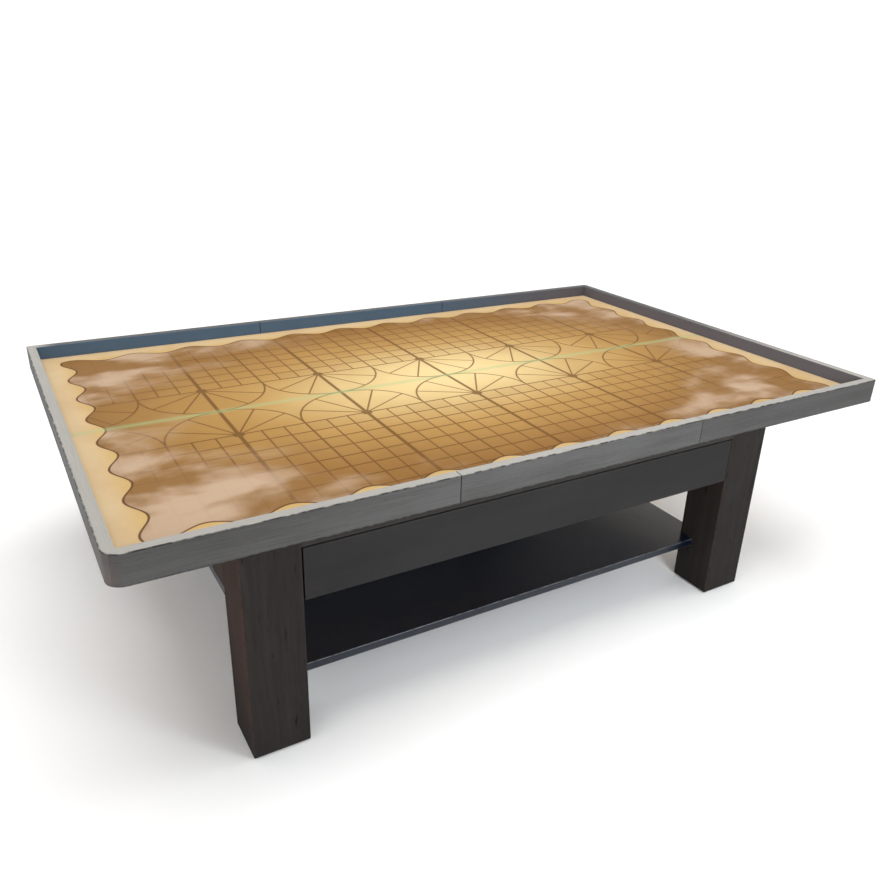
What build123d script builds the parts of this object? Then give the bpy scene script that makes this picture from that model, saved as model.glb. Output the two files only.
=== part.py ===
"""Gaming table: a three-section play tray that lifts off a low table with a drawer and a shelf.

Millimetres. +X runs along the long side, the drawer opens towards -Y and +Z is up.
The origin is on the floor, under the centre of the play tray.
"""

import os

from build123d import *

# ---- play tray ----
tray_length = 1880.0
tray_width = 1186.0
table_height = 498.0  # floor to the top of the rim
rim_height = 59.0
rim_thickness = 22.0
rim_round_corner = 30.0  # the front left corner
rim_tight_corner = 8.0  # the other three corners
rim_edge_radius = 1.2
recess_depth = 33.0  # top of the rim to the top of the mat
mat_thickness = 3.0
mat_clearance = 1.0
mat_corner_radius = 4.0
deck_thickness = 12.0
deck_groove_depth = 6.0  # how far the deck is let into the rim
section_count = 3
section_gap = 2.0
batten_width = 40.0
batten_offset = 200.0  # each side of a section's middle
batten_screw_pitch = 300.0
grip_pad_thickness = 1.5
grip_pad_width = 30.0
grip_pad_length = 120.0
corner_block_leg = 60.0

# ---- section locks under the deck ----
lock_pivot_inset = 34.0  # pivot to the seam, on the middle section
lock_reach = 60.0  # pivot to the keeper's post
lock_spacing = 300.0  # each side of the long centre line
lock_plate_thickness = 2.0
hook_thickness = 3.0
hook_drop = 3.5  # deck to the top of the hook
post_radius = 4.0
post_clearance = 0.4

# ---- low table ----
base_length = 1280.0
base_depth = 1180.0
base_left_overhang = 200.0  # tray past the table at the left end
leg_width = 112.0
leg_depth = 108.0
leg_edge_radius = 3.0
glide_thickness = 3.0
glide_inset = 6.0
apron_bottom = 320.0
apron_thickness = 22.0
panel_edge_radius = 1.5
top_board_thickness = 9.0
top_board_setback = 1.5
rail_thickness = 18.0
front_rail_depth = 60.0
bearer_height = 100.0
shelf_top = 126.0
shelf_thickness = 18.0
shelf_inset = 67.0  # shelf edge behind the outer faces of the legs
cleat_length = 38.0
cleat_depth = 30.0
cleat_height = 20.0

# ---- drawer ----
drawer_travel = 400.0
drawer_front_thickness = 20.0
drawer_side_gap = 2.5
drawer_top_gap = 2.5
drawer_wall = 15.0
drawer_box_depth = 500.0
drawer_box_height = 75.0
drawer_box_lift = 10.0  # box above the lower edge of the front
drawer_bottom_thickness = 6.0
drawer_bottom_lift = 8.0
drawer_groove_depth = 6.0
bumper_radius = 5.0
pull_radius = 9.0
pull_length = 420.0

# ---- ball-bearing runners ----
runner_space = 12.7
runner_length = 450.0
runner_steel = 1.2
runner_height = 35.0
middle_height = 27.0
inner_height = 19.0
runner_setback = 25.0  # front end of the runner behind the drawer front

# ---- fasteners ----
lock_screw = 10.0
batten_screw = 20.0
shelf_screw = 32.0
leg_screw = 50.0
drawer_front_screw = 30.0
table_runner_screw = 14.0
drawer_runner_screw = 12.0
dowel_radius = 5.0
dowel_length = 40.0
deck_dowel_radius = 3.0
screw_shank_radius = 1.75
screw_head_radius = 3.6
screw_head_height = 1.9

# ---- levels and places that follow from the sizes above ----
rim_bottom = table_height - rim_height
mat_top = table_height - recess_depth
deck_top = mat_top - mat_thickness
deck_bottom = deck_top - deck_thickness
base_top = rim_bottom - grip_pad_thickness
tray_x = tray_length / 2
tray_y = tray_width / 2
inner_x = tray_x - rim_thickness
inner_y = tray_y - rim_thickness
section_length = tray_length / section_count
seam_x = section_length / 2

base_x0 = -tray_x + base_left_overhang
base_x1 = base_x0 + base_length
base_y = base_depth / 2
leg_in_x0 = base_x0 + leg_width
leg_in_x1 = base_x1 - leg_width
leg_in_y = base_y - leg_depth
board_bottom = base_top - top_board_thickness
shelf_bottom = shelf_top - shelf_thickness
front_rail_bottom = board_bottom - rail_thickness
front_back_y = -base_y + drawer_front_thickness
front_rail_y0 = front_back_y + 2.0

box_x0 = leg_in_x0 + runner_space
box_x1 = leg_in_x1 - runner_space
box_y1 = front_back_y + drawer_box_depth
box_z0 = apron_bottom + drawer_box_lift
box_z1 = box_z0 + drawer_box_height
drawer_floor_z0 = box_z0 + drawer_bottom_lift
drawer_floor_z1 = drawer_floor_z0 + drawer_bottom_thickness
runner_z = (box_z0 + box_z1) / 2
runner_y0 = front_back_y + runner_setback
runner_y1 = runner_y0 + runner_length

nodes = {}


# ---- shapes that are used again and again ----


def block(x0, x1, y0, y1, z0, z1):
    """A box between two corners."""
    size = Box(x1 - x0, y1 - y0, z1 - z0)
    return Pos((x0 + x1) / 2, (y0 + y1) / 2, (z0 + z1) / 2) * size


def eased_block(x0, x1, y0, y1, z0, z1, radius):
    """A box with every edge rounded."""
    plain = block(x0, x1, y0, y1, z0, z1)
    return fillet(plain.edges(), radius)


def prism(corners, z0, z1):
    """A plan outline raised from one level to another."""
    plan = Polygon(*corners, align=None)
    return Pos(0, 0, z0) * extrude(plan, z1 - z0, dir=(0, 0, 1))


def rod(x, y, z, axis, length, radius):
    """A cylinder centred on a point, along X, Y or Z."""
    turns = {"X": Rot(0, 90, 0), "Y": Rot(90, 0, 0), "Z": Rot(0, 0, 0)}
    return Pos(x, y, z) * turns[axis] * Cylinder(radius, length)


def wood_blank(length):
    """The room a countersunk screw takes: head face at the origin, point along +Z."""
    outline = Polygon(
        (0, 0),
        (screw_head_radius, 0),
        (screw_shank_radius, screw_head_height),
        (screw_shank_radius, length - 3.0),
        (0, length),
        align=None,
    )
    return revolve(Plane.XZ * outline, Axis.Z)


def wood_screw(length):
    """A countersunk screw with a six-sided drive."""
    return wood_blank(length) - extrude(RegularPolygon(1.6, 6), 1.4)


def pan_blank(length):
    """The room a pan-head screw takes below its head, along +Z."""
    return Pos(0, 0, length / 2) * Cylinder(screw_shank_radius, length)


def pan_screw(length):
    """A pan-head screw: the head stands up on the -Z side of the origin."""
    height = 1.4
    head = Pos(0, 0, -height / 2) * Cylinder(3.2, height)
    drive = Pos(0, 0, -height) * extrude(RegularPolygon(1.3, 6), 0.9)
    return head + pan_blank(length) - drive


def at(places, shape):
    """The same shape at each place."""
    return [place * shape for place in places]


def group(solids):
    """Separate solids kept together as one node."""
    return Compound(children=[s.solid() for s in solids])


def cut_by(part, tools):
    """The part with each tool's shape taken out of it, as for a drilled hole."""
    for tool in tools:
        part = part - tool
    return part


# ---- play tray: rim ----


def section_centres():
    """The middle of each section along X."""
    first = -tray_x + section_length / 2
    return [first + i * section_length for i in range(section_count)]


def rim_block():
    """The tray's outer shape, one of its corners rounder than the rest."""
    solid = block(-tray_x, tray_x, -tray_y, tray_y, rim_bottom, table_height)

    def is_front_left(edge):
        return edge.center().X < 0 and edge.center().Y < 0

    upright = solid.edges().filter_by(Axis.Z)
    solid = fillet(upright.filter_by(is_front_left, reverse=True), rim_tight_corner)
    upright = solid.edges().filter_by(Axis.Z)
    return fillet(upright.filter_by(is_front_left), rim_round_corner)


def rim_ring():
    """The whole rim, with eased edges and a groove for the deck."""
    ring = rim_block()
    ring -= block(-inner_x, inner_x, -inner_y, inner_y, rim_bottom - 1, table_height + 1)
    top_edges = ring.edges().filter_by(lambda e: e.bounding_box().min.Z > table_height - 0.1)
    ring = fillet(top_edges, rim_edge_radius)
    low_edges = [
        e
        for e in ring.edges()
        if e.bounding_box().max.Z < rim_bottom + 0.1
        and max(abs(e.center().X) / tray_x, abs(e.center().Y) / tray_y) > 0.985
    ]
    ring = fillet(low_edges, rim_edge_radius / 2)
    reach_x = inner_x + deck_groove_depth
    reach_y = inner_y + deck_groove_depth
    return ring - block(-reach_x, reach_x, -reach_y, reach_y, deck_bottom, deck_top)


def rim_piece(ring, corners):
    """The part of the ring that stands inside a plan outline."""
    return ring & prism(corners, rim_bottom - 1, table_height + 1)


def rim_rails(ring):
    """Three rails along the front and three along the back, mitred at the ends."""
    rails = {}
    out = 5.0  # how far the cutting outline stands outside the rim
    deep = rim_thickness + 10.0
    near = seam_x + section_gap / 2
    far = seam_x - section_gap / 2
    for side, sign in (("front", -1), ("back", 1)):
        y_out = sign * (tray_y + out)
        y_in = sign * (tray_y - deep)
        left = [
            (-tray_x - out, y_out),
            (-tray_x + deep, y_in),
            (-near, y_in),
            (-near, y_out),
        ]
        middle = [(-far, y_out), (-far, y_in), (far, y_in), (far, y_out)]
        right = [(-x, y) for x, y in left]
        for place, corners in (("left", left), ("middle", middle), ("right", right)):
            rails[f"rim_{side}_{place}"] = rim_piece(ring, corners)
    return rails


def rim_ends(ring):
    """One mitred rail across each end."""
    ends = {}
    out = 5.0
    deep = rim_thickness + 10.0
    for place, sign in (("left", -1), ("right", 1)):
        corners = [
            (sign * (tray_x + out), -tray_y - out),
            (sign * (tray_x + out), tray_y + out),
            (sign * (tray_x - deep), tray_y - deep),
            (sign * (tray_x - deep), -tray_y + deep),
        ]
        ends[f"rim_end_{place}"] = rim_piece(ring, corners)
    return ends


# ---- play tray: deck, battens and their fasteners ----


def deck_panels():
    """One plywood panel in each section."""
    reach_x = inner_x + deck_groove_depth
    reach_y = inner_y + deck_groove_depth
    near = seam_x + section_gap / 2
    far = seam_x - section_gap / 2
    spans = {"left": (-reach_x, -near), "middle": (-far, far), "right": (near, reach_x)}
    return {
        f"deck_{place}": block(x0, x1, -reach_y, reach_y, deck_bottom, deck_top)
        for place, (x0, x1) in spans.items()
    }


def batten_places(centre):
    """The middle of each batten under one section."""
    return [centre - batten_offset, centre + batten_offset]


def battens(centre):
    """Two battens across one section, level with the underside of the rim."""
    half = batten_width / 2
    return [
        block(x - half, x + half, -inner_y, inner_y, rim_bottom, deck_bottom)
        for x in batten_places(centre)
    ]


def batten_screw_places(centre):
    """Four screws go up through each batten into the deck."""
    rows = [(row - 1.5) * batten_screw_pitch for row in range(4)]
    return [Pos(x, y, rim_bottom) for x in batten_places(centre) for y in rows]


def corner_blocks():
    """Triangular glue blocks in the four corners, under the deck."""
    blocks = []
    for sx in (-1, 1):
        for sy in (-1, 1):
            x, y = sx * inner_x, sy * inner_y
            along_x = (x - sx * corner_block_leg, y)
            along_y = (x, y - sy * corner_block_leg)
            blocks.append(prism([(x, y), along_x, along_y], rim_bottom, deck_bottom))
    return blocks


def grip_pads():
    """Thin rubber pads on the battens that stand over the low table."""
    pads = []
    for centre in section_centres():
        for x in batten_places(centre):
            if not base_x0 + apron_thickness < x < base_x1 - apron_thickness:
                continue
            for y in (-450.0, 0.0, 450.0):
                half_w, half_l = grip_pad_width / 2, grip_pad_length / 2
                pads.append(
                    block(x - half_w, x + half_w, y - half_l, y + half_l, base_top, rim_bottom)
                )
    return pads


def deck_dowels():
    """Dowels that line up the deck panels at both seams."""
    z = (deck_bottom + deck_top) / 2
    rows = [-450.0, -150.0, 150.0, 450.0]
    return [
        rod(side * seam_x, y, z, "X", dowel_length, deck_dowel_radius)
        for side in (-1, 1)
        for y in rows
    ]


def rim_dowels():
    """One dowel across each joint in the front and back rails."""
    z = (deck_top + table_height) / 2
    y = tray_y - rim_thickness / 2
    return [
        rod(sx * seam_x, sy * y, z, "X", dowel_length, dowel_radius - 1.0)
        for sx in (-1, 1)
        for sy in (-1, 1)
    ]


# ---- play tray: section locks ----


def lock_frames():
    """Where each lock sits: name, turn about Z, pivot x and pivot y."""
    x = seam_x - lock_pivot_inset
    return [
        ("front_right", 0, x, -lock_spacing),
        ("back_right", 0, x, lock_spacing),
        ("front_left", 180, -x, -lock_spacing),
        ("back_left", 180, -x, lock_spacing),
    ]


def placed(shape, turn, x, y):
    """A lock piece, drawn about its pivot, put in its place under the deck."""
    return Pos(x, y, deck_bottom) * Rot(0, 0, turn) * shape


def lock_plate():
    """The plate that carries the pivot."""
    t = lock_plate_thickness
    plate = block(-26, 26, -18, 18, -t, 0)
    plate = fillet(plate.edges().filter_by(Axis.Z), 4.0)
    return cut_by(plate, at(plate_screw_places(), wood_blank(lock_screw)))


def lock_pivot():
    """The headed pin that the hook turns on."""
    stem_top = -lock_plate_thickness
    stem_low = -hook_drop - hook_thickness - 0.5
    stem = Pos(0, 0, (stem_top + stem_low) / 2) * Cylinder(4.0, stem_top - stem_low)
    head = Pos(0, 0, stem_low - 0.75) * Cylinder(7.0, 1.5)
    return stem + head


def hook_outline():
    """The hook in plan: a boss, an arm with an open slot for the post, and a thumb tab."""
    boss = Circle(11.0)
    arm = Pos((lock_reach + 14.0) / 2, 1.0) * Rectangle(lock_reach + 14.0, 18.0)
    tab = Pos(-14.0, 0) * Rectangle(28.0, 14.0)
    tab_end = Pos(-28.0, 0) * Circle(7.0)
    outline = boss + arm + tab + tab_end
    slot_half = post_radius + post_clearance
    track = Circle(lock_reach + slot_half) - Circle(lock_reach - slot_half)
    track &= Pos(lock_reach, -30.0) * Rectangle(30.0, 60.0)
    track += Pos(lock_reach, 0) * Circle(slot_half)
    return outline - track - Circle(4.0 + 0.05)


def lock_hook():
    """The flat hook, which turns 90 degrees to let the sections part."""
    low = -hook_drop - hook_thickness
    return Pos(0, 0, low) * extrude(hook_outline(), hook_thickness)


def lock_keeper():
    """The plate and post on the outer section that the hook holds."""
    t = lock_plate_thickness
    plate = block(lock_reach - 18, lock_reach + 18, -18, 18, -t, 0)
    plate = fillet(plate.edges().filter_by(Axis.Z), 4.0)
    post_low = -hook_drop - hook_thickness - 0.5
    post = Pos(lock_reach, 0, (post_low - t) / 2) * Cylinder(post_radius, -t - post_low)
    head = Pos(lock_reach, 0, post_low - 0.75) * Cylinder(post_radius + 2.0, 1.5)
    return cut_by(plate + post + head, at(keeper_screw_places(), wood_blank(lock_screw)))


def plate_screw_places():
    """Screws of the pivot plate, about the pivot."""
    return [Pos(x, y, -lock_plate_thickness) for x in (-18, 18) for y in (-12, 12)]


def keeper_screw_places():
    """Screws of the keeper, about the pivot."""
    return [Pos(lock_reach + 12, y, -lock_plate_thickness) for y in (-12, 12)]


# ---- low table ----


def leg_corners():
    """Each leg's name and the low corner of its plan."""
    return [
        ("leg_front_left", base_x0, -base_y),
        ("leg_front_right", leg_in_x1, -base_y),
        ("leg_back_left", base_x0, leg_in_y),
        ("leg_back_right", leg_in_x1, leg_in_y),
    ]


def leg(x, y):
    """A straight square leg, up to the underside of the tray."""
    return eased_block(
        x, x + leg_width, y, y + leg_depth, glide_thickness, base_top, leg_edge_radius
    )


def glides():
    """A felt glide under each leg."""
    g = glide_inset
    return [
        block(x + g, x + leg_width - g, y + g, y + leg_depth - g, 0, glide_thickness)
        for _, x, y in leg_corners()
    ]


def end_apron(outer_x, inward):
    """A flush apron between the legs of one end; inward is +1 at the left end."""
    inner = outer_x + inward * apron_thickness
    x0, x1 = min(outer_x, inner), max(outer_x, inner)
    return eased_block(x0, x1, -leg_in_y, leg_in_y, apron_bottom, base_top, panel_edge_radius)


def back_apron():
    """A flush apron between the back legs."""
    y0 = base_y - apron_thickness
    return eased_block(
        leg_in_x0, leg_in_x1, y0, base_y, apron_bottom, base_top, panel_edge_radius
    )


def notched_panel(x0, x1, y0, y1, z0, z1):
    """A board that fits round the inner corners of the four legs."""
    panel = block(x0, x1, y0, y1, z0, z1)
    for _, x, y in leg_corners():
        panel -= block(x, x + leg_width, y, y + leg_depth, z0 - 1, z1 + 1)
    return panel


def top_board():
    """The thin board that closes the table under the tray."""
    return notched_panel(
        base_x0 + apron_thickness,
        base_x1 - apron_thickness,
        -base_y + top_board_setback,
        base_y - apron_thickness,
        board_bottom,
        base_top,
    )


def lower_shelf():
    """The shelf, set in from the legs' outer faces, with eased long edges."""
    panel = notched_panel(
        base_x0 + shelf_inset,
        base_x1 - shelf_inset,
        -base_y + shelf_inset,
        base_y - shelf_inset,
        shelf_bottom,
        shelf_top,
    )
    outer = [
        e
        for e in panel.edges()
        if abs(e.center().Y) > base_y - shelf_inset - 0.1
        or e.center().X < base_x0 + shelf_inset + 0.1
        or e.center().X > base_x1 - shelf_inset - 0.1
    ]
    level = [e for e in outer if e.bounding_box().size.Z < 0.1]
    return fillet(level, panel_edge_radius)


def front_rail():
    """A flat rail over the drawer, behind its front."""
    y1 = front_rail_y0 + front_rail_depth
    return block(leg_in_x0, leg_in_x1, front_rail_y0, y1, front_rail_bottom, board_bottom)


def bearers():
    """Two boards from front leg to back leg, which carry the runners and the top board."""
    z0 = board_bottom - bearer_height
    left = block(leg_in_x0 - rail_thickness, leg_in_x0, -leg_in_y, leg_in_y, z0, board_bottom)
    right = block(leg_in_x1, leg_in_x1 + rail_thickness, -leg_in_y, leg_in_y, z0, board_bottom)
    return {"bearer_left": left, "bearer_right": right}


def frame_dowels():
    """Dowels from the aprons, bearers and front rail into the legs."""
    dowels = []
    apron_rows = [apron_bottom + 30.0, base_top - 30.0]
    for x in (base_x0 + apron_thickness / 2, base_x1 - apron_thickness / 2):
        for y in (-leg_in_y, leg_in_y):
            dowels += [rod(x, y, z, "Y", dowel_length, dowel_radius) for z in apron_rows]
    for x in (leg_in_x0, leg_in_x1):
        y = base_y - apron_thickness / 2
        dowels += [rod(x, y, z, "X", dowel_length, dowel_radius) for z in apron_rows]
    bearer_rows = [board_bottom - 25.0, board_bottom - bearer_height + 25.0]
    for x in (leg_in_x0 - rail_thickness / 2, leg_in_x1 + rail_thickness / 2):
        for y in (-leg_in_y, leg_in_y):
            dowels += [rod(x, y, z, "Y", dowel_length, dowel_radius) for z in bearer_rows]
    z = board_bottom - rail_thickness / 2
    for x in (leg_in_x0, leg_in_x1):
        for y in (front_rail_y0 + 15.0, front_rail_y0 + front_rail_depth - 15.0):
            dowels.append(rod(x, y, z, "X", dowel_length, dowel_radius))
    return dowels


def cleat_places():
    """The plan centre of each shelf cleat, and the way its leg lies along Y."""
    x_left = leg_in_x0 - (leg_width - shelf_inset) / 2
    x_right = leg_in_x1 + (leg_width - shelf_inset) / 2
    y = leg_in_y - cleat_depth / 2
    return [(x, sign * y, sign) for x in (x_left, x_right) for sign in (-1, 1)]


def shelf_cleats():
    """Blocks under the shelf, screwed to the hidden faces of the legs."""
    half_x, half_y = cleat_length / 2, cleat_depth / 2
    z0 = shelf_bottom - cleat_height
    return [
        block(x - half_x, x + half_x, y - half_y, y + half_y, z0, shelf_bottom)
        for x, y, _ in cleat_places()
    ]


def shelf_screw_places():
    """One screw goes up from each cleat into the shelf."""
    z0 = shelf_bottom - cleat_height
    return [Pos(x - 9.0, y, z0) for x, y, _ in cleat_places()]


def leg_screw_places():
    """One screw goes across from each cleat into its leg."""
    z = shelf_bottom - cleat_height / 2
    places = []
    for x, y, sign in cleat_places():
        face_y = y - sign * cleat_depth / 2
        places.append(Pos(x + 9.0, face_y, z) * Rot(-sign * 90, 0, 0))
    return places


def drawer_bumpers():
    """Two rubber buttons on the front rail that the drawer front closes against."""
    thickness = front_rail_y0 - front_back_y
    y = (front_rail_y0 + front_back_y) / 2
    z = board_bottom - rail_thickness / 2
    xs = [leg_in_x0 + 60.0, leg_in_x1 - 60.0]
    return [rod(x, y, z, "Y", thickness, bumper_radius) for x in xs]


# ---- drawer ----


def drawer_front():
    """The visible front, flush with the legs, with a finger groove along its lower back edge."""
    gap = drawer_side_gap
    top = board_bottom - drawer_top_gap
    front = eased_block(
        leg_in_x0 + gap,
        leg_in_x1 - gap,
        -base_y,
        front_back_y,
        apron_bottom,
        top,
        panel_edge_radius,
    )
    middle = (leg_in_x0 + leg_in_x1) / 2
    groove = rod(middle, front_back_y, apron_bottom, "X", pull_length, pull_radius)
    return front - groove


def drawer_floor():
    """The drawer's bottom panel, let into grooves all round."""
    d = drawer_wall - drawer_groove_depth
    return block(
        box_x0 + d,
        box_x1 - d,
        front_back_y + d,
        box_y1 - d,
        drawer_floor_z0,
        drawer_floor_z1,
    )


def drawer_walls():
    """The four walls of the drawer box; the side walls run the full depth."""
    w = drawer_wall
    y0, y1, z0, z1 = front_back_y, box_y1, box_z0, box_z1
    return {
        "drawer_side_left": block(box_x0, box_x0 + w, y0, y1, z0, z1),
        "drawer_side_right": block(box_x1 - w, box_x1, y0, y1, z0, z1),
        "drawer_box_front": block(box_x0 + w, box_x1 - w, y0, y0 + w, z0, z1),
        "drawer_back": block(box_x0 + w, box_x1 - w, y1 - w, y1, z0, z1),
    }


def drawer_front_screw_places():
    """Four screws go from inside the box into the visible front."""
    y = front_back_y + drawer_wall
    z = (box_z0 + box_z1) / 2 + 6.0
    middle = (box_x0 + box_x1) / 2
    xs = [middle + k * 300.0 for k in (-1.5, -0.5, 0.5, 1.5)]
    return [Pos(x, y, z) * Rot(90, 0, 0) for x in xs]


# ---- runners ----


def channel(side, web_at, web_to, flange_to, height, y0, y1):
    """A channel of thin steel; distances are measured from the table's side towards the drawer."""
    base = leg_in_x0 if side == "left" else leg_in_x1
    sign = 1 if side == "left" else -1

    def span(a, b, z0, z1):
        x0, x1 = sorted((base + sign * a, base + sign * b))
        return block(x0, x1, y0, y1, z0, z1)

    half = height / 2
    web = span(web_at, web_to, runner_z - half, runner_z + half)
    reach = sorted((web_at, flange_to))
    low = span(reach[0], reach[1], runner_z - half, runner_z - half + runner_steel)
    high = span(reach[0], reach[1], runner_z + half - runner_steel, runner_z + half)
    return web + low + high


def outer_member(side):
    """The member fixed to the table."""
    return channel(side, 0.0, runner_steel, 9.0, runner_height, runner_y0, runner_y1)


def middle_member(side):
    """The member that travels half as far as the drawer."""
    start = runner_y0 + 5.0
    return channel(side, 4.2, 4.2 + runner_steel, 11.0, middle_height, start, runner_y1)


def inner_member(side):
    """The member fixed to the drawer."""
    web_at = runner_space
    web_to = runner_space - runner_steel
    return channel(side, web_at, web_to, 6.6, inner_height, runner_y0, runner_y1)


def runner_screw_rows():
    """Where the runner screws are along Y."""
    return [runner_y0 + 40.0, runner_y0 + 225.0, runner_y0 + 410.0]


def table_runner_places():
    """Screws go from the outer members into the legs and bearers."""
    places = []
    for y in runner_screw_rows():
        places.append(Pos(leg_in_x0 + runner_steel, y, runner_z) * Rot(0, -90, 0))
        places.append(Pos(leg_in_x1 - runner_steel, y, runner_z) * Rot(0, 90, 0))
    return places


def drawer_runner_places():
    """Screws go from the inner members into the drawer's sides."""
    places = []
    for y in runner_screw_rows():
        places.append(Pos(box_x0 - runner_steel, y, runner_z) * Rot(0, 90, 0))
        places.append(Pos(box_x1 + runner_steel, y, runner_z) * Rot(0, -90, 0))
    return places


# ---- put the tray together ----

across_rims = rim_dowels()
ring = rim_ring()
for name, piece in {**rim_rails(ring), **rim_ends(ring)}.items():
    nodes[name] = cut_by(piece, across_rims)
nodes["rim_dowels"] = group(across_rims)

lock_screws = []
lock_holes = []
for name, turn, x, y in lock_frames():
    nodes[f"lock_hook_{name}"] = placed(lock_hook(), turn, x, y)
    for place in plate_screw_places() + keeper_screw_places():
        lock_screws.append(placed(place * wood_screw(lock_screw), turn, x, y))
        lock_holes.append(placed(place * wood_blank(lock_screw), turn, x, y))
frames = [(turn, x, y) for _, turn, x, y in lock_frames()]
nodes["lock_plates"] = group([placed(lock_plate(), *frame) for frame in frames])
nodes["lock_pivots"] = group([placed(lock_pivot(), *frame) for frame in frames])
nodes["lock_keepers"] = group([placed(lock_keeper(), *frame) for frame in frames])
nodes["lock_screws"] = group(lock_screws)

up_screws = []
up_holes = []
for name, centre in zip(("left", "middle", "right"), section_centres()):
    screw_places = batten_screw_places(centre)
    holes = at(screw_places, wood_blank(batten_screw))
    nodes[f"battens_{name}"] = group([cut_by(b, holes) for b in battens(centre)])
    up_screws += at(screw_places, wood_screw(batten_screw))
    up_holes += holes
nodes["batten_screws"] = group(up_screws)
across_seams = deck_dowels()
for name, panel in deck_panels().items():
    nodes[name] = cut_by(panel, across_seams + up_holes + lock_holes)
nodes["deck_dowels"] = group(across_seams)
nodes["corner_blocks"] = group(corner_blocks())
nodes["grip_pads"] = group(grip_pads())

mat_plan = RectangleRounded(
    2 * (inner_x - mat_clearance), 2 * (inner_y - mat_clearance), mat_corner_radius
)
nodes["play_mat"] = Pos(0, 0, deck_top) * extrude(mat_plan, mat_thickness)

# ---- put the low table together ----

dowels = frame_dowels()
shelf_holes = at(shelf_screw_places(), wood_blank(shelf_screw))
leg_holes = at(leg_screw_places(), wood_blank(leg_screw))
runner_holes = at(table_runner_places(), pan_blank(table_runner_screw))
for name, x, y in leg_corners():
    nodes[name] = cut_by(leg(x, y), dowels + leg_holes + runner_holes)
nodes["leg_glides"] = group(glides())
nodes["end_apron_left"] = cut_by(end_apron(base_x0, 1), dowels)
nodes["end_apron_right"] = cut_by(end_apron(base_x1, -1), dowels)
nodes["back_apron"] = cut_by(back_apron(), dowels)
nodes["front_rail"] = cut_by(front_rail(), dowels)
for name, board in bearers().items():
    nodes[name] = cut_by(board, dowels + runner_holes)
nodes["frame_dowels"] = group(dowels)
nodes["top_board"] = top_board()
nodes["lower_shelf"] = cut_by(lower_shelf(), shelf_holes)
nodes["shelf_cleats"] = group([cut_by(c, shelf_holes + leg_holes) for c in shelf_cleats()])
cleat_screws = at(shelf_screw_places(), wood_screw(shelf_screw))
cleat_screws += at(leg_screw_places(), wood_screw(leg_screw))
nodes["cleat_screws"] = group(cleat_screws)
nodes["drawer_bumpers"] = group(drawer_bumpers())
nodes["runner_screws"] = group(at(table_runner_places(), pan_screw(table_runner_screw)))

# ---- put the drawer and its runners together ----

front_holes = at(drawer_front_screw_places(), wood_blank(drawer_front_screw))
side_holes = at(drawer_runner_places(), pan_blank(drawer_runner_screw))
floor = drawer_floor()
nodes["drawer_front"] = cut_by(drawer_front(), front_holes)
for name, wall in drawer_walls().items():
    nodes[name] = cut_by(wall, [floor] + front_holes + side_holes)
nodes["drawer_bottom"] = floor
nodes["drawer_front_screws"] = group(
    at(drawer_front_screw_places(), wood_screw(drawer_front_screw))
)
nodes["drawer_runner_screws"] = group(at(drawer_runner_places(), pan_screw(drawer_runner_screw)))
for side in ("left", "right"):
    nodes[f"runner_outer_{side}"] = cut_by(outer_member(side), runner_holes)
    nodes[f"runner_middle_{side}"] = middle_member(side)
    nodes[f"runner_inner_{side}"] = cut_by(inner_member(side), side_holes)

os.makedirs("parts", exist_ok=True)
for name, shape in nodes.items():
    export_step(shape, f"parts/{name}.step")
print(len(nodes), "nodes written")
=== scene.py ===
"""Looks for the low gaming table: a grey stained play tray with a printed mat, on a dark base that has
a drawer and a shelf.

Every length is in metres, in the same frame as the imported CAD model: the origin is on the floor under
the middle of the tray, X runs along the table and the drawer opens towards -Y.
"""

import math

import bpy
from mathutils import Matrix, Vector


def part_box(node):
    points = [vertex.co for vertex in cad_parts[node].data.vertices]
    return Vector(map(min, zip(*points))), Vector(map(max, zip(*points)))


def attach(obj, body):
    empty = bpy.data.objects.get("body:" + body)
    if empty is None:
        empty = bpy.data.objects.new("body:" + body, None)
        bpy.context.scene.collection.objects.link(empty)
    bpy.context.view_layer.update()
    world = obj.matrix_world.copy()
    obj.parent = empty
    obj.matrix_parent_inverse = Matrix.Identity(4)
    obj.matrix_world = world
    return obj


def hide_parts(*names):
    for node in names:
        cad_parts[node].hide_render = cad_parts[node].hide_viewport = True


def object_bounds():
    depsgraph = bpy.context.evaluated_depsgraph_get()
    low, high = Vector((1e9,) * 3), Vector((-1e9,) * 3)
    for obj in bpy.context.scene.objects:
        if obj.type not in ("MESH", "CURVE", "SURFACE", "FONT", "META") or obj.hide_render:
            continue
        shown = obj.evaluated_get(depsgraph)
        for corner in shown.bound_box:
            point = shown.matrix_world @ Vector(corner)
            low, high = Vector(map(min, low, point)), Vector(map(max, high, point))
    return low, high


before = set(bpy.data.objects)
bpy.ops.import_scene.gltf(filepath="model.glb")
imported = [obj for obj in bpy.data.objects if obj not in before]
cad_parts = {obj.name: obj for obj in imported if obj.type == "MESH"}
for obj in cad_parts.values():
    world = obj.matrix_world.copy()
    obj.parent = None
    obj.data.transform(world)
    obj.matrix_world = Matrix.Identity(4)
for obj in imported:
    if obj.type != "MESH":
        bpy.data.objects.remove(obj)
cad_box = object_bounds()

# ---------------------------------------------------------------------------------------------- node formulas


class Value:
    """What a node gives out. Arithmetic on it adds the math nodes that work it out."""

    def __init__(self, graph, socket):
        self.graph = graph
        self.socket = socket

    def __add__(self, other):
        return self.graph.math("ADD", self, other)

    def __radd__(self, other):
        return self.graph.math("ADD", other, self)

    def __sub__(self, other):
        return self.graph.math("SUBTRACT", self, other)

    def __rsub__(self, other):
        return self.graph.math("SUBTRACT", other, self)

    def __mul__(self, other):
        return self.graph.math("MULTIPLY", self, other)

    def __truediv__(self, other):
        return self.graph.math("DIVIDE", self, other)

    def __abs__(self):
        return self.graph.math("ABSOLUTE", self)


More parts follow.
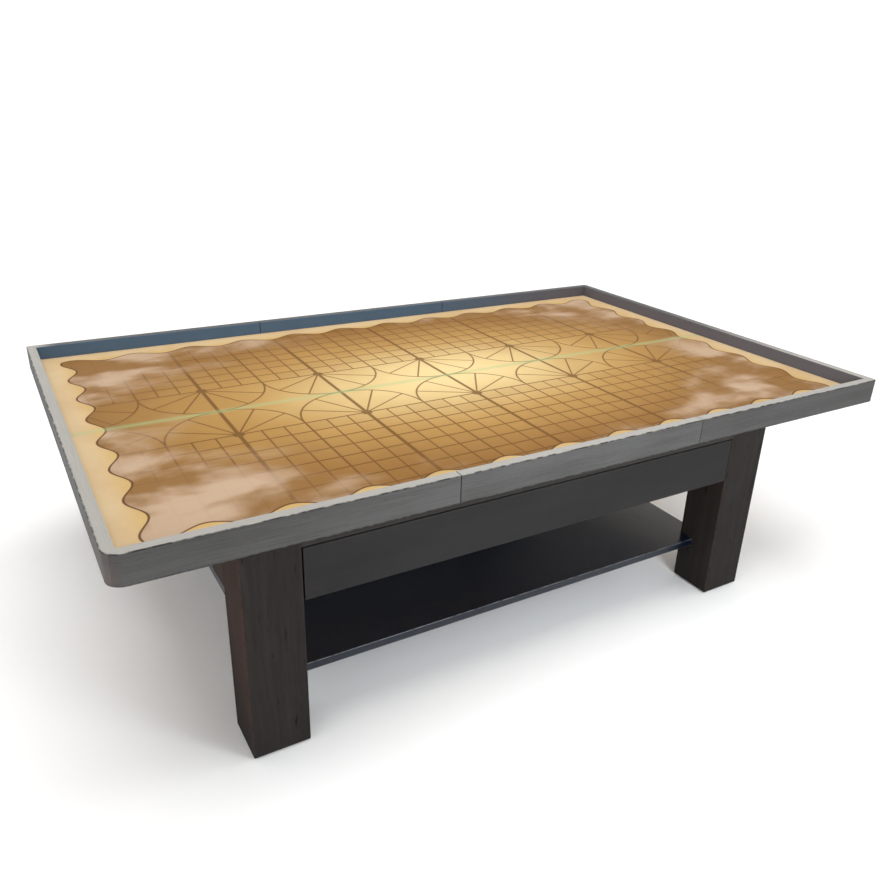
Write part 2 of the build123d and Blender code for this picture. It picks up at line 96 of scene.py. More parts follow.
class Graph:
    """A material whose node tree is written as formulas of the object's own coordinates."""

    def __init__(self, name):
        self.material = bpy.data.materials.new(name)
        self.material.use_nodes = True
        self.tree = self.material.node_tree
        self.tree.nodes.clear()
        self.output = self.tree.nodes.new("ShaderNodeOutputMaterial")
        self.shader = self.tree.nodes.new("ShaderNodeBsdfPrincipled")
        self.tree.links.new(self.shader.outputs["BSDF"], self.output.inputs["Surface"])

    def plug(self, socket, value):
        """Links a Value to a socket, or sets the socket to a plain number or colour."""
        if isinstance(value, Value):
            self.tree.links.new(value.socket, socket)
        elif hasattr(value, "__len__") and len(value) == 3 and len(socket.default_value) == 4:
            socket.default_value = (*value, 1.0)
        else:
            socket.default_value = value

    def math(self, operation, *terms):
        node = self.tree.nodes.new("ShaderNodeMath")
        node.operation = operation
        for socket, term in zip(node.inputs, terms):
            self.plug(socket, term)
        return Value(self, node.outputs[0])

    def least(self, a, b):
        return self.math("MINIMUM", a, b)

    def most(self, a, b):
        return self.math("MAXIMUM", a, b)

    def length(self, across, along):
        """How far off a point is that lies this far across and this far along."""
        return self.math("SQRT", across * across + along * along)

    def position(self):
        """The point's x, y and z in the row frame, which a piece keeps as its own when it moves."""
        where = self.tree.nodes.new("ShaderNodeTexCoord")
        parts = self.tree.nodes.new("ShaderNodeSeparateXYZ")
        self.tree.links.new(where.outputs["Object"], parts.inputs[0])
        return [Value(self, out) for out in parts.outputs]

    def vector(self, x, y, z):
        node = self.tree.nodes.new("ShaderNodeCombineXYZ")
        for socket, term in zip(node.inputs, (x, y, z)):
            self.plug(socket, term)
        return Value(self, node.outputs[0])

    def noise(self, vector, scale=1.0, detail=2.0, roughness=0.5, distortion=0.0):
        node = self.tree.nodes.new("ShaderNodeTexNoise")
        self.plug(node.inputs["Vector"], vector)
        node.inputs["Scale"].default_value = scale
        node.inputs["Detail"].default_value = detail
        node.inputs["Roughness"].default_value = roughness
        node.inputs["Distortion"].default_value = distortion
        return Value(self, node.outputs["Fac"])

    def cells(self, vector, scale=1.0):
        """Distance to the nearest of many scattered points."""
        node = self.tree.nodes.new("ShaderNodeTexVoronoi")
        self.plug(node.inputs["Vector"], vector)
        node.inputs["Scale"].default_value = scale
        return Value(self, node.outputs["Distance"])

    def rise(self, start, end, value):
        """0 up to start, 1 from end on, and smooth between them. Start may be the larger one."""
        node = self.tree.nodes.new("ShaderNodeMapRange")
        node.interpolation_type = "SMOOTHSTEP"
        self.plug(node.inputs["Value"], value)
        if start <= end:
            node.inputs["From Min"].default_value = start
            node.inputs["From Max"].default_value = end
            return Value(self, node.outputs["Result"])
        node.inputs["From Min"].default_value = end
        node.inputs["From Max"].default_value = start
        node.inputs["To Min"].default_value = 1.0
        node.inputs["To Max"].default_value = 0.0
        return Value(self, node.outputs["Result"])

    def line(self, distance, width, softness):
        """1 within half the width of where the distance is 0."""
        return self.rise(width / 2 + softness, width / 2 - softness, abs(distance))

    def mix(self, share, first, second):
        node = self.tree.nodes.new("ShaderNodeMix")
        node.data_type = "RGBA"
        colours = [s for s in node.inputs if s.type == "RGBA"]
        self.plug(node.inputs["Factor"], share)
        self.plug(colours[0], first)
        self.plug(colours[1], second)
        out = next(s for s in node.outputs if s.type == "RGBA")
        return Value(self, out)

    def bump(self, height, depth, strength):
        node = self.tree.nodes.new("ShaderNodeBump")
        node.inputs["Strength"].default_value = strength
        node.inputs["Distance"].default_value = depth
        self.plug(node.inputs["Height"], height)
        return Value(self, node.outputs["Normal"])

    def finish(self, colour, roughness, normal=None, **settings):
        """Sets the shader. Settings are the shader's own plain numbers, such as Metallic or Coat_Weight."""
        self.plug(self.shader.inputs["Base Color"], colour)
        self.plug(self.shader.inputs["Roughness"], roughness)
        if normal is not None:
            self.plug(self.shader.inputs["Normal"], normal)
            self.plug(self.shader.inputs["Coat Normal"], normal)
        for name, number in settings.items():
            self.plug(self.shader.inputs[name.replace("_", " ")], number)
        return self.material


def tone(red, green, blue):
    """A colour given as on a screen, 0 to 255, as the linear light that shaders take."""
    def linear(c):
        c /= 255
        return c / 12.92 if c <= 0.04045 else ((c + 0.055) / 1.055) ** 2.4
    return (linear(red), linear(green), linear(blue))


# --------------------------------------------------------------------------------------------------- wood


def worn_edges(g, point, lo, hi, width):
    """1 along the edges of a board that fills the box from lo to hi, where two of its faces meet."""
    middle = (lo + hi) / 2
    half = (hi - lo) / 2
    out = [abs(point[i] - middle[i]) - half[i] for i in range(3)]
    low = g.least(out[0], out[1])
    high = g.most(out[0], out[1])
    second = g.most(low, g.least(high, out[2]))
    return g.rise(-width, 0.0, second)


TRAY_CORNER = 0.008
FRONT_LEFT_CORNER = 0.030


def past_inner_faces(g, point):
    """How far a point of the rim stands out from its inner faces."""
    x, y, _ = point
    inner_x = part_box("rim_end_right")[0].x
    inner_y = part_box("rim_back_middle")[0].y
    return g.most(abs(x) - inner_x, abs(y) - inner_y)


def tray_edges(g, point, width):
    """1 along the outer edges of the tray's rim, round its corners too."""
    x, y, z = point
    front_left = g.rise(0.0, -0.01, x) * g.rise(0.0, -0.01, y)
    radius = TRAY_CORNER + front_left * (FRONT_LEFT_CORNER - TRAY_CORNER)
    across = g.most(abs(x) - cad_box[1].x + radius, 0.0)
    along = g.most(abs(y) - cad_box[1].y + radius, 0.0)
    inside = g.length(across, along) - radius
    bottom, top = (corner.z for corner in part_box("rim_front_left"))
    level = abs(z - (top + bottom) / 2) - (top - bottom) / 2
    return g.rise(-width, 0.0, g.least(inside, level))


def wood(name, node, grain, dark, light, roughness, seed, figure, streaks=0.75, fibre=0.65, pores=0.5,
         wear=0.4, rings=0.006, checks=0.0, depth=0.00025, bare=None, edges=None, edge_width=0.003,
         cloudy=1.0, lining=None, **settings):
    """A board of stained or bare wood, its grain along one axis (0, 1 or 2).

    figure is how strongly the growth rings show, streaks and fibre how much the broad and fine grain
    shows, pores how dark the short open pores are, wear how much its edges have changed colour, checks
    how many short dark drying cracks it has, and cloudy how uneven its polish is. The last argument gives
    painted light on the tray: a cool tint on its inner faces, at the left and at the right, and a painted
    sheen that lightens its top at the front and left.
    """
    g = Graph(name)
    point = g.position()
    along = point[grain] + seed * 0.37
    side, rise = [point[i] + seed * 0.11 for i in range(3) if i != grain]
    drift = g.noise(g.vector(along * 1.6, side * 5, rise * 5), detail=2)
    centre_side = -0.05 + 0.031 * (seed % 5)
    heart = g.length(side - centre_side, rise + 0.12)
    ring = g.math("SINE", (heart + drift * 0.05) * (2 * math.pi / rings)) * 0.5 + 0.5
    bands = g.noise(g.vector(along * 1.3, side * 42, rise * 42), detail=4, roughness=0.6)
    fibres = g.noise(g.vector(along * 11, side * 620, rise * 620), detail=3, roughness=0.65)
    dashes = g.noise(g.vector(along * 55, side * 1400, rise * 1400), detail=1)
    pore = g.rise(0.60, 0.70, dashes)
    blotch = g.noise(g.vector(along * 3, side * 9, rise * 9), detail=3)
    grain_share = (bands - 0.5) * streaks + (fibres - 0.5) * fibre
    share = 0.5 + grain_share + (ring - 0.5) * figure + (blotch - 0.5) * 0.7
    colour = g.mix(g.rise(0.0, 1.0, share), dark, light)
    colour = g.mix(pore * pores, colour, tuple(c * 0.35 for c in dark))
    height = fibres * 0.55 + ring * (0.4 * figure) - pore * 0.8
    if checks:
        spots = g.noise(g.vector(along * 16, side * 130, rise * 130), detail=2)
        crack = g.rise(0.67, 0.74, spots) * checks
        colour = g.mix(crack, colour, tuple(c * 0.25 for c in dark))
        height = height - crack * 1.6
    # Painted light on the tray's rim: a cool tint on its inner faces and a painted sheen on its top.
    if lining is not None:
        left_painted_light, right_painted_light, top_sheen_tone = lining
        # Painted light tint on the inner faces: bluish over most of the length, neutral at the right end.
        inner = g.mix(g.rise(0.2, 0.9, point[0]), left_painted_light, right_painted_light)
        colour = g.mix(g.rise(0.0012, 0.0004, past_inner_faces(g, point)), colour, inner)
        # Painted sheen: the top face is lightened at the front and at the left end, broken a little by the
        # fibres.
        painted_sheen = g.rise(-0.0012, -0.0003, point[2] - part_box(node)[1].z)
        painted_sheen = painted_sheen * g.most(g.rise(-0.86, -0.93, point[0]), g.rise(0.2, -0.5, point[1]))
        colour = g.mix(painted_sheen * (0.72 + (fibres - 0.5) * 0.4), colour, top_sheen_tone)
    rub = g.noise(g.vector(along * 60, side * 60, rise * 60), detail=3)
    if edges is None:
        edge = worn_edges(g, point, *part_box(node), edge_width)
    else:
        edge = edges(g, point, edge_width)
    worn = edge * g.rise(0.30, 0.60, rub) * wear
    colour = g.mix(worn, colour, bare or tuple(min(1, c * 2.2) for c in light))
    polish = roughness + ((blotch - 0.5) * 0.16 + pore * 0.2 + (fibres - 0.5) * 0.12) * cloudy
    return g.finish(colour, g.most(polish, 0.08), g.bump(height, depth, 0.55), **settings)


def plywood(name, node, grain, seed, coat=0.0):
    """Birch plywood: a pale rotary-cut face, and plies one after another on its edges."""
    g = Graph(name)
    point = g.position()
    lo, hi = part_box(node)
    thin = min(range(3), key=lambda i: (hi - lo)[i])
    along = point[grain] + seed * 0.53
    side, rise = [point[i] + seed * 0.17 for i in range(3) if i != grain]
    figure = g.noise(g.vector(along * 1.4, side * 7, rise * 7), detail=5, roughness=0.55, distortion=1.2)
    contour = g.math("SINE", figure * 46) * 0.5 + 0.5
    fibres = g.noise(g.vector(along * 16, side * 480, rise * 480), detail=2)
    flecks = g.rise(0.66, 0.74, g.noise(g.vector(along * 70, side * 900, rise * 900), detail=1))
    share = 0.5 + (contour - 0.5) * 0.35 + (fibres - 0.5) * 0.5 + (figure - 0.5) * 0.6
    colour = g.mix(g.rise(0.1, 0.9, share), tone(183, 148, 103), tone(224, 196, 152))
    colour = g.mix(flecks * 0.35, colour, tone(140, 100, 62))
    plies = 7 if (hi - lo)[thin] < 0.0125 else 9
    layer = (point[thin] - lo[thin]) * (math.pi * plies / (hi - lo)[thin])
    cross = g.rise(-0.15, 0.25, g.math("SINE", layer + math.pi))
    across = 1 - grain
    past_edge = abs(point[across] - (lo + hi)[across] / 2) - (hi - lo)[across] / 2
    edge = g.rise(-0.0006, -0.0001, past_edge)
    colour = g.mix(cross * edge * 0.6, colour, tone(133, 96, 60))
    height = fibres * 0.5 - flecks * 0.5
    return g.finish(colour, 0.52 - (fibres - 0.5) * 0.2, g.bump(height, 0.00015, 0.5), Coat_Weight=coat,
                    Coat_Roughness=0.25)


# The rim's last three tones are painted light: a cool tint for its inner faces at the left and at the right,
# and a painted sheen for its top at the front and left.
RIM = dict(dark=tone(59, 58, 57), light=tone(87, 87, 86), roughness=0.40, figure=0.04, streaks=0.45,
           fibre=0.5, pores=0.25, wear=1.0, bare=tone(20, 21, 22), edges=tray_edges, edge_width=0.0034,
           lining=(tone(72, 90, 108), tone(88, 85, 89), tone(162, 159, 153)), depth=0.00018,
           Specular_IOR_Level=0.0, Coat_Weight=0.22, Coat_Roughness=0.24)
LEG = dict(dark=tone(27, 25, 24), light=tone(46, 43, 41), roughness=0.46, figure=0.06, streaks=0.5,
           pores=0.4, wear=0.4, checks=0.8, bare=tone(80, 62, 52),
           Specular_IOR_Level=0.0, Coat_Weight=0.12, Coat_Roughness=0.36)
APRON = dict(dark=tone(32, 31, 31), light=tone(44, 43, 43), roughness=0.48, figure=0.03, streaks=0.35,
             fibre=0.4, pores=0.25, wear=0.3, bare=tone(62, 58, 55), depth=0.00015,
             Specular_IOR_Level=0.0, Coat_Weight=0.15, Coat_Roughness=0.36)
# The shelf's tones are darker and bluer than the rest of the base: painted shade from the tray above it and a
# painted cool reflection. Its pale grey rubbed edges are painted highlights in broken dashes.
SHELF = dict(dark=tone(3, 10, 20), light=tone(8, 20, 36), roughness=0.42, figure=0.0, streaks=0.3,
             fibre=0.3, pores=0.3, wear=0.7, checks=0.55, bare=tone(120, 124, 128), edge_width=0.002,
             depth=0.00012, cloudy=0.35,
             Specular_IOR_Level=0.0, Coat_Weight=0.9, Coat_Roughness=0.30)
INSIDE = dict(dark=tone(24, 22, 20), light=tone(40, 37, 34), roughness=0.6, figure=0.3, pores=0.4,
              wear=0.3, Specular_IOR_Level=0.2)
SOFTWOOD = dict(dark=tone(166, 124, 80), light=tone(222, 184, 132), roughness=0.55, figure=0.75,
                pores=0.12, wear=0.15, rings=0.0045)
BEECH = dict(dark=tone(178, 138, 92), light=tone(214, 176, 126), roughness=0.5, figure=0.25, pores=0.5,
             wear=0.1)

X, Y, Z = range(3)
WOODS = [
    (RIM, X, ["rim_front_left", "rim_front_middle", "rim_front_right", "rim_back_left", "rim_back_middle",
              "rim_back_right"]),
    (RIM, Y, ["rim_end_left", "rim_end_right"]),
    (LEG, Z, ["leg_front_left", "leg_front_right", "leg_back_left", "leg_back_right"]),
    (APRON, X, ["drawer_front", "back_apron"]),
    (APRON, Y, ["end_apron_left", "end_apron_right"]),
    (SHELF, X, ["lower_shelf"]),
    (INSIDE, X, ["top_board", "front_rail", "corner_blocks"]),
    (INSIDE, Y, ["bearer_left", "bearer_right", "shelf_cleats"]),
    (SOFTWOOD, Y, ["battens_left", "battens_middle", "battens_right"]),
    (BEECH, X, ["deck_dowels", "frame_dowels", "rim_dowels"]),
]
PLYWOODS = [
    (X, 0.0, ["deck_left", "deck_middle", "deck_right"]),
    (X, 0.3, ["drawer_bottom", "drawer_back", "drawer_box_front"]),
    (Y, 0.3, ["drawer_side_left", "drawer_side_right"]),
]


def dress(node, material):
    """Gives a CAD node one finish."""
    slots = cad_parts[node].data.materials
    for i in range(len(slots)):
        slots[i] = material
    if not slots:
        slots.append(material)


seed = 0
for finish, grain, nodes in WOODS:
    for node in nodes:
        seed += 1
        dress(node, wood(f"wood_{node}", node, grain, seed=seed, **finish))
for grain, coat, nodes in PLYWOODS:
    for node in nodes:
        seed += 1
        dress(node, plywood(f"plywood_{node}", node, grain, seed, coat))

# ------------------------------------------------------------------------------------ metal, rubber and felt


def plated_steel(name, shade, roughness, brushed=None):
    """Zinc plate: faint cloudy crystals, fine brushing along one axis, and small dull marks."""
    g = Graph(name)
    point = g.position()
    stretch = [900.0, 900.0, 900.0]
    if brushed is not None:
        stretch[brushed] = 25.0
    lines = g.noise(g.vector(*(point[i] * stretch[i] for i in range(3))), detail=2)
    cloud = g.noise(g.vector(*point), scale=70, detail=3)
    marks = g.rise(0.62, 0.72, g.noise(g.vector(*point), scale=230, detail=2))
    share = 0.5 + (lines - 0.5) * 0.5 + (cloud - 0.5) * 0.9
    colour = g.mix(share, tuple(c * 0.72 for c in shade), tuple(min(1, c * 1.2) for c in shade))
    colour = g.mix(marks * 0.3, colour, tone(120, 118, 112))
    finish = roughness + (cloud - 0.5) * 0.2 + marks * 0.18
    return g.finish(colour, finish, g.bump(lines + cloud * 0.5, 0.00006, 0.35), Metallic=0.95)


def moulded_rubber(name):
    """Matt black rubber with a fine sanded skin and a little grey dust."""
    g = Graph(name)
    point = g.vector(*g.position())
    grit = g.noise(point, scale=1500, detail=2)
    dust = g.noise(point, scale=60, detail=4)
    colour = g.mix(g.rise(0.45, 0.8, dust), tone(28, 28, 29), tone(62, 60, 57))
    return g.finish(colour, 0.78 + (dust - 0.5) * 0.2, g.bump(grit, 0.0002, 0.6))


def felt(name):
    """Pressed grey felt: short fibres lying every way."""
    g = Graph(name)
    x, y, z = g.position()
    one = g.noise(g.vector(x * 1800, y * 300, z * 900), detail=2)
    other = g.noise(g.vector(x * 300, y * 1800, z * 900), detail=2)
    fibre = g.most(one, other)
    colour = g.mix(g.rise(0.35, 0.75, fibre), tone(48, 45, 43), tone(104, 99, 93))
    return g.finish(colour, 0.95, g.bump(fibre, 0.0004, 0.8), Sheen_Weight=0.4, Sheen_Roughness=0.6)


screw_steel = plated_steel("screw_steel", (0.56, 0.55, 0.52), 0.38)
lock_steel = plated_steel("lock_steel", (0.55, 0.56, 0.57), 0.36, brushed=X)
runner_steel = plated_steel("runner_steel", (0.62, 0.63, 0.64), 0.30, brushed=Y)
black_rubber = moulded_rubber("black_rubber")
grey_felt = felt("grey_felt")
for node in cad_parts:
    if node.endswith("_screws") or node in ("lock_pivots", "lock_keepers"):
        dress(node, screw_steel)
    elif node.startswith("lock_"):
        dress(node, lock_steel)
    elif node.startswith("runner_"):
        dress(node, runner_steel)
for node in ("grip_pads", "drawer_bumpers"):
    dress(node, black_rubber)
dress("leg_glides", grey_felt)

# --------------------------------------------------------------------------------------------- printed mat

mat_lo, mat_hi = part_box("play_mat")
MAT_CORNER = 0.004
CLOTH = 0.0006
KNIT_PITCH = 0.0011
GRIP_PITCH = 0.0045
INK_BRIGHTNESS = 0.64


def ripple(x, y):
    """How far the mat's face stands off dead flat: it was rolled, and still has faint swells."""
    long_swell = math.sin(6.1 * x + 0.7 * y + 0.4) * math.cos(3.7 * y + 0.9)
    cross_swell = math.sin(2.3 * x - 5.3 * y + 1.8)
    return 0.00011 * long_swell + 0.00009 * cross_swell


def mat_layer(name, inset, top, bottom=None):
    """One layer of the mat as a grid with rounded corners. top(x, y, in_from_edge) gives its height.

    With a bottom it is a closed slab, and without one an open skin.
    """
    half = (mat_hi.x - inset, mat_hi.y - inset)
    rows = []
    for h, count in zip(half, (76, 48)):
        near = [h, h - 0.00025, h - 0.0006, h - 0.0013, h - 0.0024, h - MAT_CORNER]
        inner = [(h - MAT_CORNER) * (2 * i / count - 1) for i in range(count + 1)]
        rows.append([-v for v in near[:-1]] + inner + near[-2::-1])
    verts = []
    for y in rows[1]:
        for x in rows[0]:
            dx = abs(x) - (half[0] - MAT_CORNER)
            dy = abs(y) - (half[1] - MAT_CORNER)
            px, py = x, y
            edge_gap = max(0.0, MAT_CORNER - max(dx, dy))
            if dx > 0 and dy > 0:
                shrink = max(dx, dy) / math.hypot(dx, dy)
                px = math.copysign(half[0] - MAT_CORNER + dx * shrink, x)
                py = math.copysign(half[1] - MAT_CORNER + dy * shrink, y)
            verts.append((px, py, edge_gap))
    wide, high = len(rows[0]), len(rows[1])
    faces = [(j * wide + i, j * wide + i + 1, (j + 1) * wide + i + 1, (j + 1) * wide + i)
             for j in range(high - 1) for i in range(wide - 1)]
    points = [(x, y, top(x, y, gap)) for x, y, gap in verts]
    if bottom is not None:
        count = len(points)
        points += [(x, y, bottom(gap)) for x, y, gap in verts]
        faces += [tuple(i + count for i in reversed(f)) for f in faces]
        ring = list(range(wide))
        ring += [j * wide + wide - 1 for j in range(1, high)]
        ring += [(high - 1) * wide + i for i in range(wide - 2, -1, -1)]
        ring += [j * wide for j in range(high - 2, 0, -1)]
        for a, b in zip(ring, ring[1:] + ring[:1]):
            faces.append((a, a + count, b + count, b))
    mesh = bpy.data.meshes.new(name)
    mesh.from_pydata(points, [], faces)
    mesh.validate()
    for polygon in mesh.polygons:
        polygon.use_smooth = True
    piece = bpy.data.objects.new(name, mesh)
    bpy.context.scene.collection.objects.link(piece)
    return piece


def rounded_over(gap, reach, drop):
    """How far an edge of that reach has dropped, at a gap from the outline."""
    inside = min(1.0, gap / reach)
    return drop * (1.0 - math.sqrt(1.0 - (1.0 - inside) ** 2))


def cloth_top(x, y, gap):
    return mat_hi.z - 0.0002 + ripple(x, y) - rounded_over(gap, 0.0024, 0.0009)


def rubber_top(x, y, gap):
    return cloth_top(x, y, gap) - CLOTH * (1.0 if gap > 0.0006 else 1.6)


def rubber_bottom(gap):
    return mat_lo.z + rounded_over(gap, 0.0006, 0.0003)


def ink(red, green, blue):
    """A printed colour, as it looks under the studio's lights."""
    return tuple(c * INK_BRIGHTNESS for c in tone(red, green, blue))


# The print is a regular pattern: two facing rows of half-round fans, tiles behind them, a waved border.
FAN_PITCH = 0.30
FAN_REACH = FAN_PITCH / 2
FAN_RAYS = 6
TILE = FAN_PITCH / 6
LONG_WAVES = 12
SHORT_WAVES = 8
WAVE_MIDDLE = 0.060
WAVE_SWELL = 0.014
LINE_EDGE = 0.001
PRINT_EDGE = 0.0007
TILE_LINE = 0.0038
ROW_LINE = 0.0045
HALF_LINE = 0.0048
ARC_LINE = 0.0046
RAY_LINE = 0.0042
BASE_LINE = 0.0050
CROSS_LINE = 0.0090
OUTLINE = 0.0046
CENTRE_LINE = 0.0034


def off_whole(g, value):
    """How far a value is from the nearest whole number."""
    return value - g.math("ROUND", value)


def print_ground(g, x, y, cloud, off_fans):
    """A warm glow in the middle that falls off to brown, with the tiles shaded a little one by one."""
    off = g.length(x / 0.78, y / 0.42) + (cloud - 0.5) * 0.25
    colour = g.mix(g.rise(0.05, 0.80, off), ink(248, 221, 160), ink(192, 150, 84))
    colour = g.mix(g.rise(0.60, 1.25, off), colour, ink(152, 108, 52))
    tile = g.vector(g.math("FLOOR", x / TILE), g.math("FLOOR", y / TILE), 7.0)
    shade = g.noise(tile, scale=1.37, detail=0)
    return g.mix(off_fans * g.rise(0.35, 0.75, shade) * 0.13, colour, ink(150, 106, 60))


def print_lines(g, x, y, off_fans):
    """1 on the lines of the tiles and fans. Each fan opens from its hub towards the centre line."""
    in_fans = 1.0 - off_fans
    from_hub = off_whole(g, x / FAN_PITCH) * FAN_PITCH
    toward = FAN_REACH - abs(y)
    column = off_whole(g, x / TILE) * TILE
    row = off_whole(g, toward / TILE) * TILE
    half = off_whole(g, x / FAN_REACH) * FAN_REACH
    tiles = g.most(g.line(column, TILE_LINE, LINE_EDGE), g.line(row, ROW_LINE, LINE_EDGE))
    tiles = g.most(tiles, g.line(half, HALF_LINE, LINE_EDGE)) * off_fans
    radius = g.length(from_hub, toward)
    arc = g.line(radius - FAN_REACH, ARC_LINE, LINE_EDGE) * in_fans
    turn = g.math("ARCTAN2", toward, abs(from_hub)) * (FAN_RAYS / math.pi)
    ray_gap = off_whole(g, turn) * (math.pi / FAN_RAYS) * radius
    in_arc = g.rise(FAN_REACH + PRINT_EDGE, FAN_REACH - PRINT_EDGE, radius)
    rays = g.line(ray_gap, RAY_LINE, LINE_EDGE) * in_arc * in_fans
    base = g.line(toward, BASE_LINE, LINE_EDGE)
    cross = g.line(from_hub, CROSS_LINE, LINE_EDGE)
    hub = g.rise(0.015, 0.011, radius)
    return g.most(g.most(g.most(tiles, arc), g.most(rays, base)), g.most(cross, hub))


def print_clouding(g, x, y, colour):
    """Soft clouding towards the ends and corners, from noise alone."""
    wisps = g.noise(g.vector(x * 0.9, y * 1.3, 3.0), scale=4.6, detail=4, roughness=0.5, distortion=0.5)
    puffs = g.noise(g.vector(x * 0.8, y * 1.2, 5.0), scale=7, detail=3, roughness=0.45, distortion=0.2)
    out = g.length(x / 0.95, y / 0.64)
    mass = g.rise(0.70, 1.06, out + (wisps - 0.5) * 0.85)
    pale = g.rise(0.40, 0.64, puffs + (wisps - 0.5) * 0.4) * g.rise(0.5, 0.85, out)
    clouding = g.mix(pale, ink(152, 112, 66), ink(212, 184, 156))
    return g.mix(mass * 0.85, colour, clouding)


def print_border(g, x, y, cloud, colour):
    """Evenly waved border: cream by the rim and sandier inwards, with a dark outline."""
    to_end = mat_hi.x - abs(x)
    to_side = mat_hi.y - abs(y)
    side_band = g.math("COSINE", x * (LONG_WAVES * math.pi / mat_hi.x)) * WAVE_SWELL + WAVE_MIDDLE
    end_band = g.math("COSINE", y * (SHORT_WAVES * math.pi / mat_hi.y)) * WAVE_SWELL + WAVE_MIDDLE
    inward = g.least(to_side - side_band, to_end - end_band)
    cream = g.mix(g.rise(0.35, 0.7, cloud), ink(232, 204, 160), ink(224, 191, 146))
    deep = g.rise(0.020, 0.085, g.least(to_end, to_side) + (cloud - 0.5) * 0.03)
    sand = g.mix(deep, cream, ink(214, 178, 110))
    colour = g.mix(g.rise(0.0006, -0.0006, inward), colour, sand)
    return g.mix(g.line(inward, OUTLINE, 0.0008) * 0.92, colour, ink(104, 62, 32))


def print_colour(g, x, y):
    """The mat's print: fans and tiles in gold, soft clouding, a waved border and a green centre line."""
    cloud = g.noise(g.vector(x, y, 0.0), scale=4.2, detail=5, roughness=0.58, distortion=0.35)
    off_fans = g.rise(-PRINT_EDGE, PRINT_EDGE, abs(y) - FAN_REACH)
    colour = print_ground(g, x, y, cloud, off_fans)
    colour = g.mix(print_lines(g, x, y, off_fans) * 0.82, colour, ink(112, 72, 26))
    colour = print_clouding(g, x, y, colour)
    colour = print_border(g, x, y, cloud, colour)
    green = g.line(y, CENTRE_LINE, 0.0016)
    glow = g.rise(0.020, 0.0, abs(y)) * 0.34
    return g.mix(g.most(green * 0.62, glow), colour, ink(170, 204, 146))


def printed_cloth(name):
    """The mat's face: a fine knit that carries the print."""
    g = Graph(name)
    x, y, z = g.position()
    colour = print_colour(g, x, y)
    warp = g.math("SINE", x * (2 * math.pi / KNIT_PITCH))
    weft = g.math("SINE", y * (2 * math.pi / KNIT_PITCH))
    knit = g.most(warp, weft)
    fuzz = g.noise(g.vector(x, y, z), scale=900, detail=2)
    colour = g.mix(g.rise(0.3, 0.9, fuzz) * 0.08, colour, tone(120, 92, 60))
    return g.finish(colour, 0.66 + (fuzz - 0.5) * 0.25, g.bump(knit * 0.5 + fuzz, 0.00012, 0.4),
                    Specular_IOR_Level=0.06)


def sponge_rubber(name):
    """The mat's backing: black foamed rubber, with an embossed grip pattern underneath."""
    g = Graph(name)
    x, y, z = g.position()
    pits = g.rise(0.10, 0.45, g.cells(g.vector(x, y, z), scale=900))
    ridge_a = g.math("SINE", (x + y) * (2 * math.pi / GRIP_PITCH))
    ridge_b = g.math("SINE", (x - y) * (2 * math.pi / GRIP_PITCH))
    grip = g.most(ridge_a, ridge_b)
    dust = g.noise(g.vector(x, y, z), scale=14, detail=4)
    colour = g.mix(g.rise(0.4, 0.8, dust), tone(30, 30, 31), tone(52, 51, 50))
    return g.finish(colour, 0.88 - (dust - 0.5) * 0.1, g.bump(grip * 0.6 + pits, 0.0003, 0.7))


cloth = mat_layer("mat_print", 0.0, cloth_top)
cloth.data.materials.append(printed_cloth("mat_print"))
backing = mat_layer("mat_backing", 0.0002, rubber_top, rubber_bottom)
backing.data.materials.append(sponge_rubber("mat_backing"))
for piece in (cloth, backing):
    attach(piece, "mat")
    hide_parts("play_mat")

# ------------------------------------------------------------------------------------- floor, light, camera


FLOOR_RADIUS = 7.0
FLOOR_CURVE = 3.0
WALL_TOP = 9.0
FLOOR_GLOW = 0.62


def studio_floor():
    """A round pale floor that curves up into a wall far from the table, the same from every side."""
    rings = [(r, 0.0) for r in (0.0, 0.7, 1.5, 3.0, 5.0, FLOOR_RADIUS)]
    for degrees in range(9, 91, 9):
        a = math.radians(degrees)
        rings.append((FLOOR_RADIUS + FLOOR_CURVE * math.sin(a), FLOOR_CURVE - FLOOR_CURVE * math.cos(a)))
    rings.append((FLOOR_RADIUS + FLOOR_CURVE, WALL_TOP))
    turns = 96
    verts = [(0.0, 0.0, 0.0)]
    for r, z in rings[1:]:
        for i in range(turns):
            a = 2 * math.pi * i / turns
            verts.append((r * math.cos(a), r * math.sin(a), z))
    faces = [(0, 1 + i, 1 + (i + 1) % turns) for i in range(turns)]
    for ring in range(len(rings) - 2):
        a = 1 + ring * turns
        b = a + turns
        faces += [(a + i, b + i, b + (i + 1) % turns, a + (i + 1) % turns) for i in range(turns)]
    mesh = bpy.data.meshes.new("floor")
    mesh.from_pydata(verts, [], faces)
    for polygon in mesh.polygons:
        polygon.use_smooth = True
    floor = bpy.data.objects.new("floor", mesh)
    bpy.context.scene.collection.objects.link(floor)
    g = Graph("floor_paint")
    x, y, z = g.position()
    soft = g.noise(g.vector(x, y, z), scale=2.0, detail=3)
    colour = g.mix(soft, (0.86, 0.86, 0.86), (0.89, 0.89, 0.89))
    g.plug(g.shader.inputs["Emission Color"], (1.0, 1.0, 1.0))
    far = g.length(x, y)
    g.plug(g.shader.inputs["Emission Strength"], g.rise(1.2, 8.0, far + z * 0.5) * FLOOR_GLOW)
    mesh.materials.append(g.finish(colour, 0.8, Specular_IOR_Level=0.1))


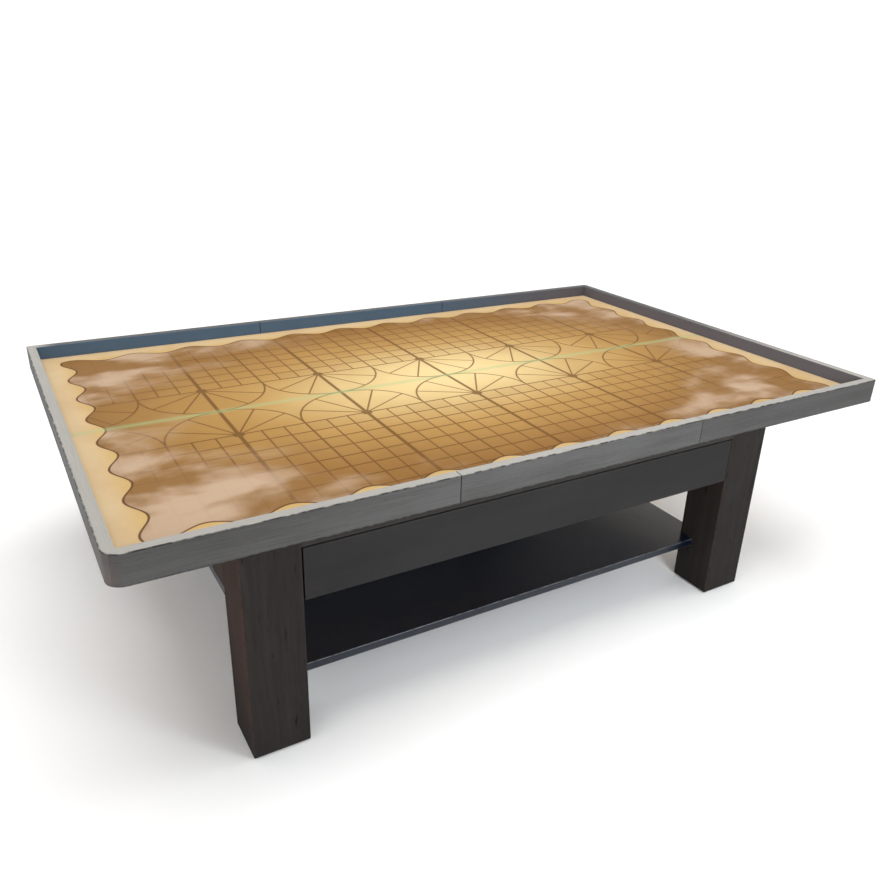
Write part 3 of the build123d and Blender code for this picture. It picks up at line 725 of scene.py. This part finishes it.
def area_light(name, place, target, size, power, colour, spread=180):
    """A soft lamp aimed at a point. The camera doesn't see it."""
    data = bpy.data.lights.new(name, "AREA")
    data.shape = "RECTANGLE"
    data.size, data.size_y = size
    data.energy = power
    data.spread = math.radians(spread)
    data.color = colour
    lamp = bpy.data.objects.new(name, data)
    bpy.context.scene.collection.objects.link(lamp)
    lamp.location = place
    lamp.visible_camera = False
    lamp.rotation_mode = "QUATERNION"
    lamp.rotation_quaternion = (Vector(target) - Vector(place)).to_track_quat("-Z", "Y")


studio_floor()
area_light("ceiling_light", (0.0, 0.3, 3.6), (0.0, 0.0, 0.45), (4.4, 3.4), 150, (1.0, 0.985, 0.96))
area_light("front_light", (0.10, -1.60, 0.85), (0.14, -0.6, 0.40), (0.5, 0.4), 10, (0.90, 0.96, 1.0))
area_light("left_light", (-1.95, -0.66, 0.03), (-0.84, -0.62, 0.26), (0.3, 0.1), 0.6, (1.0, 0.36, 0.22), 28)

world = bpy.data.worlds.new("studio")
bpy.context.scene.world = world
world.use_nodes = True
background = world.node_tree.nodes["Background"]
background.inputs["Color"].default_value = (0.93, 0.96, 1.0, 1.0)
background.inputs["Strength"].default_value = 0.20

bpy.context.scene.view_settings.view_transform = "Standard"


CAMERA_PLACE = (-1.0331, -1.7390, 1.1547)
CAMERA_YAW = 30.99
CAMERA_PITCH = 23.98
CAMERA_ROLL = 1.86
CAMERA_LENS = 32.57


def photo_camera():
    """The camera at the photograph's place, aimed by its yaw from +Y, its pitch down and its roll."""
    yaw = math.radians(CAMERA_YAW)
    pitch = math.radians(CAMERA_PITCH)
    roll = math.radians(CAMERA_ROLL)
    forward = Vector((math.sin(yaw) * math.cos(pitch), math.cos(yaw) * math.cos(pitch), -math.sin(pitch)))
    level = Vector((math.cos(yaw), -math.sin(yaw), 0.0))
    upright = level.cross(forward)
    right = level * math.cos(roll) + upright * math.sin(roll)
    top = upright * math.cos(roll) - level * math.sin(roll)
    data = bpy.data.cameras.new("camera")
    data.sensor_width = 36.0
    data.lens = CAMERA_LENS
    data.clip_end = 60.0
    camera = bpy.data.objects.new("camera", data)
    bpy.context.scene.collection.objects.link(camera)
    turn = Matrix((right, top, -forward)).transposed().to_4x4()
    camera.matrix_world = Matrix.Translation(CAMERA_PLACE) @ turn
    bpy.context.scene.camera = camera


photo_camera()
